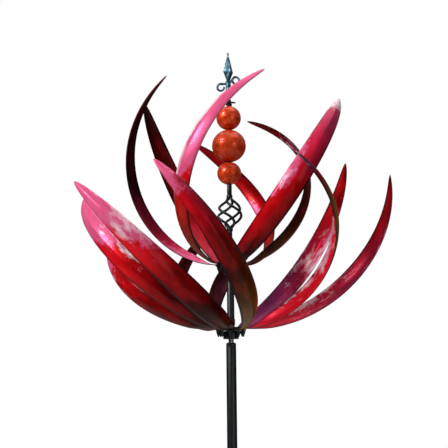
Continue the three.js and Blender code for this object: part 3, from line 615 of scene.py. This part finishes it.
# Faces at the back are painted dark, as in shade.
IN_SHADE = {"thin": ((0.25, 0.25, 0.25, 0.25, 0.3), (0.25, 0.25, 0.3, 0.25, 0.25)),
        "ground_reflection_and_purple": ((-0.2, -0.2, 0, -0.2, -0.2), (0, 0, 0.4, 0.2, -0.2))}
PAINTED_LIGHT_AND_TINT = {
    "lower_1_outer": {"sky_reflection": ((0, 0, 0, 0.35, 0.55), (0, 0, 0, 0.15, 0.95)),
                      "thin": ((0.55, 0.3, 0.25, 0.4, 0.55), (0.8, 0.3, 0.25, 0.65, 0.9)),
                      "ground_reflection_and_purple": ((-1, -0.8, -0.2, 0.1, 0.3), (-1, -0.6, 0, 0, 0)),
                      "painted_highlight": ((0, 0, 0, 0.2, 0), (0.1, 0, 0, 0.1, 0.3))},
    "lower_2_outer": {"sky_reflection": ((0, 0, 0.1, 0.95, 1.2), (0, 0, 0.05, 0.4, 1.1)),
                      "thin": ((0.15, 0.2, 0.5, 0.8, 0.7), (0.2, 0.15, 0.45, 0.95, 0.8)),
                      "ground_reflection_and_purple": ((-0.2, 0, 0, 0.1, 0.4), (-0.25, 0, 0, 0, 0)),
                      "painted_highlight": ((0, 0, 0.05, 0.55, 0.1), (0, 0, 0.05, 0.3, 0.1))},
    "lower_3_outer": {"sky_reflection": ((0, 0, 0.4, 1.1, 1.2), (0, 0, 0.15, 0.75, 1.1)),
                      "thin": ((0.15, 0.25, 0.45, 0.6, 0.6), (0.2, 0.4, 0.85, 0.85, 0.7)),
                      "ground_reflection_and_purple": ((0, 0, 0, 0.4, 0.3), (-0.1, 0, 0, 0, 0)),
                      "painted_highlight": ((0, 0, 0.5, 0.3, 0.1), (0, 0, 0.1, 0.15, 0.5))},
    "lower_4_outer": {"sky_reflection": ((0, 0, 0.3, 0.8, 1), (0, 0.1, 0.5, 1, 1)),
                      "thin": ((0.2, 0.3, 0.5, 0.6, 0.6), (0.2, 0.4, 0.8, 0.8, 0.7)),
                      "ground_reflection_and_purple": ((-0.1, 0, 0, 0, 0), (0, 0, 0, 0, 0)),
                      "painted_highlight": ((0, 0, 0.2, 0.3, 0.2), (0, 0.1, 0.45, 0.4, 0.2))},
    "lower_5_inner": IN_SHADE,
    "lower_6_inner": IN_SHADE,
    "lower_7_inner": {"sky_reflection": ((0.1, 0.1, 0.35, 0.1, 0), (0.7, 0.15, 0.6, 0.65, 0)),
                      "thin": ((0.5, 0.45, 0.65, 0.7, 0.65), (0.7, 0.5, 0.8, 0.9, 0.3)),
                      "ground_reflection_and_purple": ((0.8, 0.8, 0.4, 0, 0), (0.7, 0.7, 0.1, 0, 0)),
                      "painted_highlight": ((0, 0.15, 0.4, 0.1, 0), (0.3, 0.2, 0.45, 0.35, 0))},
    "lower_8_inner": {"sky_reflection": ((0, 0.45, 0.5, 0, 0), (0, 0.3, 0.2, 0.4, 0.1)),
                      "thin": ((0.6, 0.75, 0.6, 0.5, 0.45), (0.6, 0.65, 0.45, 0.55, 0.35)),
                      "ground_reflection_and_purple": ((0, 0.1, 0.2, 0, 0), (0, 0.3, 0.4, 0.2, 0)),
                      "painted_highlight": ((0, 0.45, 0.3, 0, 0), (0, 0.25, 0.2, 0.4, 0.2))},
    "lower_8_outer": {"thin": ((0.8, 0.8, 0.6, 0.5, 0.4), (0.8, 0.8, 0.6, 0.5, 0.4)),
                      "ground_reflection_and_purple": ((0.2, 0.2, 0.5, 0.3, 0), (0.2, 0.2, 0.5, 0.3, 0))},
    "lower_9_inner": {"sky_reflection": ((0.2, 0.45, 0.6, 0.4, 0.2), (0.3, 0.1, 0.1, 0.1, 0)),
                      "thin": ((0.6, 0.7, 0.75, 0.5, 0.4), (0.5, 0.7, 0.85, 0.6, 0.4)),
                      "ground_reflection_and_purple": ((0.2, 0.1, 0.1, 0, 0), (0.1, 0, 0, 0, 0)),
                      "painted_highlight": ((0.1, 0.4, 0.5, 0.2, 0.1), (0.1, 0, 0.1, 0.1, 0))},
    "lower_9_outer": {"thin": ((0.8, 0.7, 0.4, 0.35, 0.4), (0.8, 0.7, 0.4, 0.35, 0.4)),
                      "ground_reflection_and_purple": ((0, 0, -0.6, -0.8, 0.8), (0, 0, -0.6, -0.8, 0.8)),
                      "painted_highlight": ((0, 0, 0, 0, 0.3), (0, 0, 0.2, 0, 0.4))},
    "upper_1_outer": {"sky_reflection": ((0, 0.15, 0.8, 1.2, 1.2), (0, 0.05, 0.4, 1.1, 1.2)),
                      "thin": ((0.3, 0.5, 0.7, 0.8, 0.8), (0.3, 0.5, 0.8, 0.8, 0.8)),
                      "ground_reflection_and_purple": ((-0.3, 0, 0, 0.2, 0.2), (-0.5, -0.1, 0, 0, 0)),
                      "painted_highlight": ((0, 0.1, 0.65, 0.75, -0.2), (0.2, 0, -0.2, -0.2, -0.2))},
    "upper_2_inner": {"sky_reflection": ((0.8, 0.35, 0, 0, 0), (0.9, 0.6, 0, 0, 0)),
                      "thin": ((0.7, 0.75, 0.15, 0.12, 0.02), (0.8, 0.8, 0.12, 0.05, 0)),
                      "ground_reflection_and_purple": ((0.4, 0.3, 0.2, 0, 0), (0.2, 0.2, 0.2, 0, 0)),
                      "painted_highlight": ((0.5, 0, 0, 0, 0), (0.55, 0.1, 0, 0, 0))},
    "upper_3_inner": {"sky_reflection": ((0.4, 0.5, 0.05, 0, 0), (0.45, 0.35, 0, 0, 0)),
                      "thin": ((0.6, 0.75, 0.45, 0.35, 0), (0.6, 0.6, 0.45, 0.35, 0.12)),
                      "ground_reflection_and_purple": ((0.3, 0.2, 0, 0, 0), (0.4, 0.1, 0, 0, 0)),
                      "painted_highlight": ((0.2, 0.1, 0, 0, 0), (0.2, 0.1, 0, 0, 0))},
    "upper_4_inner": {"sky_reflection": ((0, 0.1, 0.1, 0, 0), (0.1, 0.3, 0.75, 0.3, 0)),
                      "thin": ((0.3, 0.3, 0.5, 0.25, 0.45), (0.4, 0.5, 0.8, 0.7, 0.5)),
                      "painted_highlight": ((0, 0, 0.4, 0, 0), (0, 0.1, 0.3, 0.2, 0))},
    "upper_5_inner": {"sky_reflection": ((0, 0, 0.2, 0.5, 0.3), (0, 0, 0.2, 0.5, 0.3)),
                      "thin": ((0.3, 0.3, 0.35, 0.35, 0.35), (0.3, 0.3, 0.35, 0.35, 0.35)),
                      "painted_highlight": ((0, 0, 0.2, 0.4, 0.1), (0, 0, 0.2, 0.4, 0.1))},
    "upper_5_outer": {"thin": ((0.15, 0.2, 0.25, 0.4, 0.4), (0.2, 0.3, 0.25, 0.4, 0.4)),
                      "ground_reflection_and_purple": ((-0.2, 0, 0.1, 0.3, 0.2), (-0.3, -0.5, 0, 0.3, 0.2)),
                      "painted_highlight": ((0, 0, 0, 0.2, 0), (0, 0.1, 0, 0.2, 0))},
    "upper_6_outer": {"sky_reflection": ((0, 0.05, 0.8, 0.35, 0.1), (0, 0, 0, 0.05, 0.1)),
                      "thin": ((0.45, 0.65, 0.85, 0.75, 0.7), (0.05, 0.2, 0.5, 0.65, 0.65)),
                      "ground_reflection_and_purple": ((0, 0, 0, 0.35, 0.5), (0, 0, 0, 0.4, 0.5)),
                      "painted_highlight": ((0, 0, 0.55, 0.1, 0.85), (0, 0, -0.1, -0.2, 0.8))},
}


def between(stops, t):
    """The value at t of five evenly spaced stops."""
    place = min(t, 0.9999) * (len(stops) - 1)
    k = int(place)
    return stops[k] + (stops[k + 1] - stops[k]) * (place - k)


def painted_light_and_tint_at(face, t, upper_edge):
    """The four painted channels at a share t of the length; upper_edge is -1 to 1."""
    # Lacquer runs to the edges as it dries, so it is thicker and darker there.
    # The thin value drops by up to 0.4 over the outer tenth of the width at each edge, so the edges are
    # darker.
    edge_darkening = 0.4 * max(abs(upper_edge) - 0.8, 0) / 0.2
    made = []
    for channel in CHANNELS:
        upper, lower = face.get(channel, NONE)
        value = between(lower, t) + (between(upper, t) - between(lower, t)) * (upper_edge + 1) / 2
        if channel == "ground_reflection_and_purple":
            value = 0.5 + 0.5 * value
        if channel == "thin":
            value -= edge_darkening
        made.append(value)
    return made


# %% Walk along a blade
STEPS_PER_ROW = 8


def blade_rows(rotor, index, rows):
    """For each row: the centre, the directions across and inward, half the width and the hollow."""
    spec = ROTORS[rotor]
    turn, lean_set, rise_set = spec["set"][index]
    base = spec["start"] + index * 360 / BLADES[rotor]
    heading = -math.radians(base + turn)
    lean = -math.radians(spec["lean"] + lean_set)
    rise = math.radians(spec["rise"] + rise_set)
    out = Vector((math.cos(heading), math.sin(heading), 0))
    side = Vector((-math.sin(heading), math.cos(heading), 0))
    lift = UP * math.cos(lean) + side * math.sin(lean)
    low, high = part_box(f"{rotor}_bolt_{index + 1}")
    tab_height = height_of(rotor + "_hub_plate")[1] + GAP + LEAF["sheet"] / 2
    at = Vector(((low.x + high.x) / 2, (low.y + high.y) / 2, tab_height)) - out * LEAF["back"]

    def climb(s):
        t = max(s, 0) / spec["length"]
        bent = rise + math.radians(spec["curl"]) * t + math.radians(spec["tighten"]) * t * t
        return bent * smooth(s / LEAF["bend"])

    s = -LEAF["back"]
    step = (spec["length"] - s) / (rows * STEPS_PER_ROW)
    made = []
    for row in range(rows + 1):
        angle = climb(s)
        along = out * math.cos(angle) + lift * math.sin(angle)
        lean_here = lean * smooth(s / LEAF["twist"])
        across = side * math.cos(lean_here) - UP * math.sin(lean_here)
        across = (across - along * across.dot(along)).normalized()
        t = min(max(s, 0) / spec["length"], 1)
        leaf = spec["width"] / 2 * max(math.sin(math.pi * t ** LEAF["skew"]), 0) ** LEAF["fullness"]
        half = max(leaf, (LEAF["tab"] if s < spec["length"] / 2 else LEAF["tip"]) / 2)
        hollow = spec["hollow"] * half / (spec["width"] / 2) * smooth(s / LEAF["twist"])
        made.append((at.copy(), across, along.cross(across), half, hollow, t))
        for _ in range(STEPS_PER_ROW):
            angle = climb(s + step / 2)
            at += (out * math.cos(angle) + lift * math.sin(angle)) * step
            s += step
    return made


# %% Blades
ROWS = 110
COLUMNS = 14
MAP_SPACING = 0.2  # metres between one blade and the next on the UV map
HIGH_SIDE = {"lower": 1, "upper": -1}


def blade_piece(rotor, index):
    rows = blade_rows(rotor, index, ROWS)
    faces = {side: PAINTED_LIGHT_AND_TINT.get(f"{rotor}_{index + 1}_{side}", PLAIN) for side in ("outer", "inner")}
    bm = bmesh.new()
    flat = bm.loops.layers.uv.new("UVMap")
    layers = {side: bm.verts.layers.float_color.new(side + "_face") for side in ("outer", "inner")}
    bmesh.ops.create_grid(bm, x_segments=COLUMNS, y_segments=ROWS, size=1, calc_uvs=True)
    for vert in bm.verts:
        # Columns crowd towards the middle, so that the crease there stays crisp.
        q = math.copysign(abs(vert.co.x) ** 1.5, vert.co.x)
        centre, across, inward, half, hollow, t = rows[round((vert.co.y + 1) / 2 * ROWS)]
        dish = 0.6 * q * q + 0.4 * abs(q)
        vert.co = centre + across * (q * half) + inward * (hollow * dish)
        for side, layer in layers.items():
            # Each vertex carries both faces' painted reflections, painted shade, tint and painted
            # highlights.
            vert[layer] = painted_light_and_tint_at(faces[side], t, q * HIGH_SIDE[rotor])
        for loop in vert.link_loops:
            loop[flat].uv = (index * MAP_SPACING + q * half, t * ROTORS[rotor]["length"])
    name = f"{rotor}_blade_{index + 1}"
    piece = make_piece(name + "_leaf", bm, rotor + "_rotor", [ENAMEL_OUTER, ENAMEL_INNER, EDGE],
                       [name], flat=60)
    wall = piece.modifiers.new("sheet", "SOLIDIFY")
    wall.thickness = LEAF["sheet"]
    wall.offset = 0
    wall.material_offset = 1
    wall.material_offset_rim = 2


for rotor, count in BLADES.items():
    for index in range(count):
        blade_piece(rotor, index)
print("blades:", sum(BLADES.values()), "each", ROWS * COLUMNS, "faces before its thickness")

# %% [markdown]
# ## The cage
# Four round rods swell out and twist round the axis between two welded collars, like the handle of
# a fire poker. In the forge they are welded at both ends, twisted cold and opened up. Here each is a
# curve with a round bevel, made a mesh once its path is right.

# %% Rods from curves
def rod_mesh(bm, points, radius, taper=None, sides=3):
    """Adds a round rod along points to a bmesh; taper gives each point's share of the radius."""
    curve = bpy.data.curves.new("rod", "CURVE")
    curve.dimensions = "3D"
    curve.bevel_depth = radius
    curve.bevel_resolution = sides
    curve.use_fill_caps = True
    spline = curve.splines.new("POLY")
    spline.points.add(len(points) - 1)
    for k, point in enumerate(points):
        spline.points[k].co = (*point, 1)
        spline.points[k].radius = taper[k] if taper else 1
    holder = bpy.data.objects.new("rod", curve)
    bpy.context.scene.collection.objects.link(holder)
    mesh = bpy.data.meshes.new_from_object(holder.evaluated_get(bpy.context.evaluated_depsgraph_get()))
    bm.from_mesh(mesh)
    bpy.data.objects.remove(holder)
    bpy.data.curves.remove(curve)
    bpy.data.meshes.remove(mesh)


# %% Cage
cage_low, cage_high = height_of("cage")
collar_radius = 6 * MM
collar_height = 7 * MM
rod_radius = 2.6 * MM
bulge = 24 * MM
swell = 1.2  # above 1 the rods leave the axis later
twist = 250
bm = bmesh.new()
for k in range(4):
    points = []
    for i in range(61):
        t = i / 60
        radius = rod_radius / 2 + (bulge - rod_radius / 2) * math.sin(math.pi * t) ** swell
        angle = -math.radians(k * 90 + twist * t)
        points.append((radius * math.cos(angle), radius * math.sin(angle),
                       cage_low + collar_height / 2 + t * (cage_high - cage_low - collar_height)))
    rod_mesh(bm, points, rod_radius, sides=4)
for low in (cage_low, cage_high - collar_height):
    spin_section(bm, ring_section(0, collar_radius, low, low + collar_height), 32)
bmesh.ops.recalc_face_normals(bm, faces=bm.faces)
soften(bm, 0.5 * MM, least=60)
make_piece("cage_twisted", bm, "mast", [POWDER], ["cage"])
print("cage from", round(cage_low / MM), "to", round(cage_high / MM), "mm")

# %% [markdown]
# ## Stem and balls
# The stem screws onto the shaft and steps down to a thinner rod that carries the balls. Each ball is
# spun from sheet in two halves and slightly flattened: the seam still shows as a groove. The holes
# for the rod are at the poles.

# %% Stem
low, high = height_of("stem_lower")
socket = 6.5 * MM
stem = 4.7 * MM
deep = low + 16 * MM
section = [(sleeve_bore, low), (socket, low), (socket, deep), (stem, deep + 4 * MM), (stem, high),
           (0, high), (0, deep), (sleeve_bore, deep)]
turned_piece("stem_lower_turned", section, "mast", POWDER, ["stem_lower"])
low, high = height_of("stem_upper")
shoulder = height_of("ball_lower")[0] - 0.2 * MM
thin = 3 * MM
section = [(0, low), (stem, low), (stem, shoulder), (thin, shoulder), (thin, high), (0, high)]
turned_piece("stem_upper_turned", section, "mast", POWDER, ["stem_upper"])
print("stem", round(2 * stem / MM, 1), "mm, thin part", round(2 * thin / MM, 1), "mm")


# %% Balls
SEAM_ANGLE = 0.12


def ball_piece(part, groove):
    low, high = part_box(part)
    radius = high.x
    centre = (low.z + high.z) / 2
    wall = 1.5 * MM
    hole = thin + GAP
    reach = math.acos(hole / radius)
    inner = math.acos(hole / (radius - wall))
    tall = (high.z - low.z) / 2 / math.sin(reach)
    section = []
    for k in range(65):
        angle = -reach + 2 * reach * k / 64
        # The seam is a groove 1.6 mm high, a little above the equator.
        cut = groove * math.exp(-(((angle - SEAM_ANGLE) * radius) / (0.8 * MM)) ** 2)
        section.append(((radius - cut) * math.cos(angle), centre + tall * math.sin(angle)))
    for k in range(13):
        angle = inner - 2 * inner * k / 12
        section.append(((radius - wall) * math.cos(angle), centre + (tall - wall) * math.sin(angle)))
    turned_piece(part + "_glazed", section, "mast", GLAZE, [part], sides=64, bevel=0)


for part, groove in (("ball_lower", 0.0), ("ball_middle", 0.9 * MM), ("ball_upper", 0.5 * MM)):
    ball_piece(part, groove)
print("balls made")

# %% [markdown]
# ## Leaves, scrolls and spear
# A ring of small leaves bends away from the stem above the balls. The four scrolls are tapered rod
# curled at the tip over a former, and the spear is a four-sided forged point with a bead at its tip.

# %% Leaf collar
low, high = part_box("leaf_collar")
middle = (low.z + high.z) / 2
bm = bmesh.new()
bore = thin + GAP
collar_wall = 2 * MM
collar_half = 5 * MM
spin_section(bm, ring_section(bore, bore + collar_wall, middle - collar_half, middle + collar_half), 28)
for k in range(4):
    before = set(bm.verts)
    leaf = bmesh.ops.create_grid(bm, x_segments=8, y_segments=4, size=1)["verts"]
    for vert in leaf:
        t = (vert.co.x + 1) / 2
        half = 4.2 * MM * math.sin(math.pi * (0.15 + 0.85 * t)) ** 0.8 if t < 1 else 0.2 * MM
        reach = bore + MM + t * 11 * MM
        droop = -2.2 * MM * t * t + 1.2 * MM * (1 - vert.co.y ** 2)
        vert.co = Vector((reach, vert.co.y * half, middle + droop))
    faces = list({f for v in leaf for f in v.link_faces})
    bmesh.ops.solidify(bm, geom=faces, thickness=1.2 * MM)
    turn = Matrix.Rotation(-math.radians(20 + k * 90), 4, "Z")
    bmesh.ops.transform(bm, matrix=turn, verts=[v for v in bm.verts if v not in before])
bmesh.ops.recalc_face_normals(bm, faces=bm.faces)
make_piece("leaf_collar_cut", bm, "mast", [POWDER], ["leaf_collar"])
print("leaf collar at", round(middle / MM), "mm")

# %% Scrolls
low, high = height_of("scrolls")
bm = bmesh.new()
heights = (494, 480, 480, 494)  # these and the collar's are in millimetres above the lower hub
collar_low, collar_high = 470, 493.5
scroll_reach = 14.7 * MM
curl_radius, curl_end, rod_radius = 7.8, 6.0, 2.5
collar = ring_section(bore, bore + collar_wall, lower_hub + collar_low * MM, lower_hub + collar_high * MM)
spin_section(bm, collar, 28)
for k, scroll in enumerate(heights):
    spring = min(scroll + curl_radius, collar_high - rod_radius)
    path = [Vector((bore + MM, 0, lower_hub + spring * MM))]
    for i in range(41):
        t = i / 40
        angle = math.radians(110 - 300 * t)
        radius = (curl_radius + (curl_end - curl_radius) * t) * MM
        centre = lower_hub + scroll * MM
        path.append(Vector((scroll_reach + radius * math.cos(angle), 0, centre + radius * math.sin(angle))))
    turn = Matrix.Rotation(math.radians(k * 90), 3, "Z")
    taper = [1 - 0.15 * i / 41 for i in range(42)]
    rod_mesh(bm, [turn @ p for p in path], rod_radius * MM, taper=taper, sides=4)
bmesh.ops.recalc_face_normals(bm, faces=bm.faces)
make_piece("scrolls_forged", bm, "mast", [IRON], ["scrolls"])
print("scrolls from", round(low / MM), "to", round(high / MM), "mm")

# %% Spear
low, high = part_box("spear")
base = low.z
tall = high.z - low.z
wide = 11 * MM
outline = [(0, 0), (0.35, 0), (1, 0.29), (0.3, 0.78), (0.12, 0.84), (0.24, 0.91), (0, 1)]
section = [(wide * across, base + tall * up) for across, up in outline]
bm = bmesh.new()
spin_section(bm, section, 4, phase=math.radians(25 - 90))
bmesh.ops.recalc_face_normals(bm, faces=bm.faces)
soften(bm, 0.35 * MM, segments=2, least=20)
make_piece("spear_forged", bm, "mast", [IRON], ["spear"], flat=20)
print("spear is", round(tall / MM), "mm tall")

# %% [markdown]
# ## Studio
# A wide pale floor, a white surround, and three large soft lamps: the key high at the front left, a
# broad one overhead and a weak one at the right. Polished enamel shows its surroundings, so the
# surround is darker below the horizon than above it for everything but the camera.

# %% Floor
FLOOR_RADIUS = 3.2
bm = bmesh.new()
bmesh.ops.create_circle(bm, cap_ends=True, segments=96, radius=FLOOR_RADIUS)
mesh = bpy.data.meshes.new("studio_floor")
bm.to_mesh(mesh)
bm.free()
floor_finish, tree = start_finish("pale_floor_paint")
place = add(tree, "TexCoord").outputs["Object"]
grain = add(tree, "TexNoise", {"Vector": place, "Scale": 40.0, "Detail": 3.0})
tone = add(tree, "ValToRGB", {"Fac": grain.outputs["Fac"]},
           stops=[(0.3, "#E6E6E4"), (0.7, "#EEEEEC")])
end_finish(tree, add(tree, "BsdfPrincipled", {"Base Color": tone.outputs["Color"], "Roughness": 0.85}))
mesh.materials.append(floor_finish)
floor = bpy.data.objects.new("studio_floor", mesh)
bpy.context.scene.collection.objects.link(floor)
floor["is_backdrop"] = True
print("floor", FLOOR_RADIUS * 2, "m across")

# %% Surround
world = bpy.data.worlds.new("studio")
bpy.context.scene.world = world
world.use_nodes = True
tree = world.node_tree
tree.nodes.clear()
direction = add(tree, "TexCoord").outputs["Generated"]
climb = add(tree, "SeparateXYZ", {"Vector": direction})
share = add(tree, "MapRange", {"Value": climb.outputs["Z"], "From Min": -1.0})
sky = add(tree, "ValToRGB", {"Fac": share.outputs["Result"]},
          stops=[(0.45, "#1C1C1E"), (0.52, "#5A5A5C"), (0.75, "#E8ECF0"), (1.0, "#FFFFFF")])
seen = add(tree, "LightPath").outputs["Is Camera Ray"]
soft = add(tree, "Background", {"Color": sky.outputs["Color"], "Strength": 0.35})
white = add(tree, "Background", {"Color": "#FFFFFF", "Strength": 1.0})
both = add(tree, "MixShader", {0: seen, 1: soft.outputs["Background"], 2: white.outputs["Background"]})
add(tree, "OutputWorld", {"Surface": both.outputs["Shader"]})
print("surround:", world.name)


# %% Lamps and camera
def softbox(name, place, aim, width, height, watts):
    lamp = bpy.data.lights.new(name, "AREA")
    lamp.shape = "RECTANGLE"
    lamp.size = width
    lamp.size_y = height
    lamp.energy = watts
    holder = bpy.data.objects.new(name, lamp)
    holder.location = place
    holder.rotation_euler = (Vector(aim) - Vector(place)).to_track_quat("-Z", "Y").to_euler()
    bpy.context.scene.collection.objects.link(holder)


MIDDLE = (0, 0, 1.45)
softbox("key", (-2.1, -1.5, 2.8), MIDDLE, 0.9, 0.9, 88)
softbox("overhead", (0.2, 0.2, 3.4), MIDDLE, 2.4, 1.6, 24)
softbox("fill", (1.8, -2.2, 1.2), MIDDLE, 1.2, 1.8, 16)

camera_data = bpy.data.cameras.new("camera")
camera_data.sensor_width = 36
camera_data.lens = 56.1
camera = bpy.data.objects.new("camera", camera_data)
pan, tilt, roll = (math.radians(a) for a in (0.48, 98.69, -0.57))
camera.matrix_world = (Matrix.Translation((0, -1.340, 1.244)) @ Matrix.Rotation(pan, 4, "Z")
                       @ Matrix.Rotation(tilt, 4, "X") @ Matrix.Rotation(roll, 4, "Z"))
bpy.context.scene.collection.objects.link(camera)
bpy.context.scene.camera = camera
bpy.context.scene.view_settings.view_transform = "Standard"
print("camera at", [round(v, 3) for v in camera.location])

# %% Sizes and finish
low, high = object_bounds()
print("visual box", [round(v, 4) for v in (*low, *high)])
